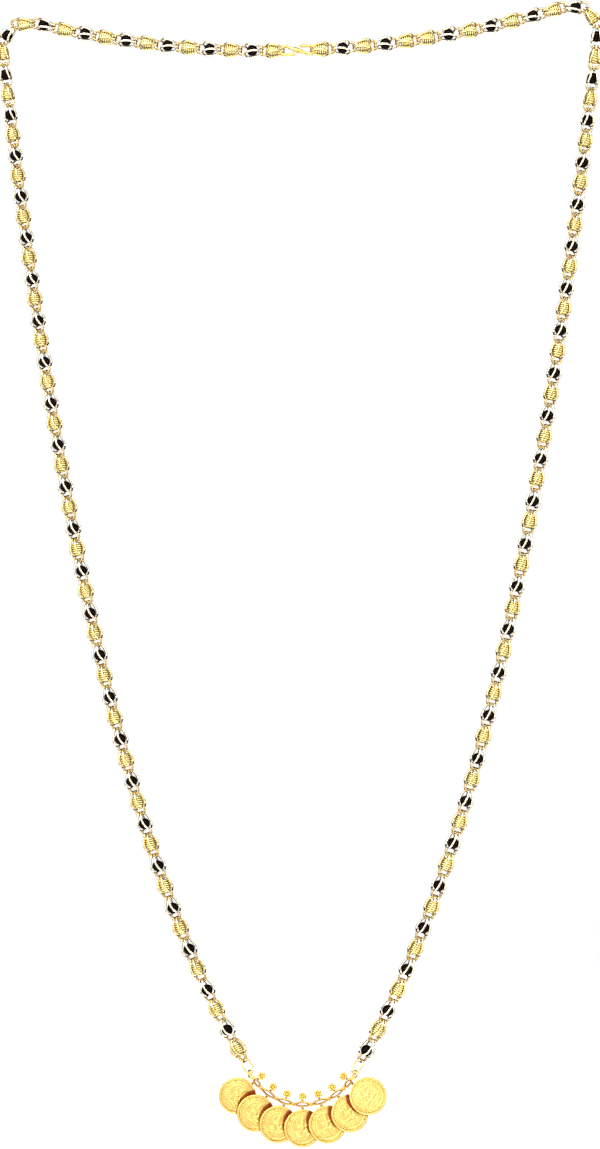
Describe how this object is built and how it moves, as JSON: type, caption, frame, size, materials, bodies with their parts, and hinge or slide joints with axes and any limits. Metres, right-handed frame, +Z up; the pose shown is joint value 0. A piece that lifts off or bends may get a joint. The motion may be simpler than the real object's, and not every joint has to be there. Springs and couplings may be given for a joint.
{
  "type": "mangalsutra",
  "caption": "Long loop-in-loop chain of caged black beads and ribbed gold barrels, closed by an S-hook, with an arch-shaped pendant of overlapping coins.",
  "frame": {"origin": "middle of the clasp, where the chain lies on the nape or on a stand", "axes": "+X to the right as seen from the front, -Y to the front, +Z up; the loop hangs down in the X-Z plane"},
  "size_m": [0.1628, 0.0044, 0.2989],
  "materials": {
    "gold": "polished gold-plated brass",
    "black_glass": "glossy opaque black glass"
  },
  "bodies": {
    "chain": {"chain_left_lower": "gold", "chain_left_upper": "gold", "chain_right_lower": "gold", "chain_right_upper": "gold", "black_beads_left": "black_glass", "black_beads_right": "black_glass", "hook_clasp": "gold", "jump_ring_left": "gold", "jump_ring_right": "gold"},
    "pendant": {"coin_pendant": "gold"}
  },
  "joints": [
    {"name": "pendant_swing", "type": "hinge", "parent": "chain", "child": "pendant", "pos_m": [0, -0.00034, -0.26933], "axis": [1, 0, 0], "range_deg": [-50, 50]}
  ]
}
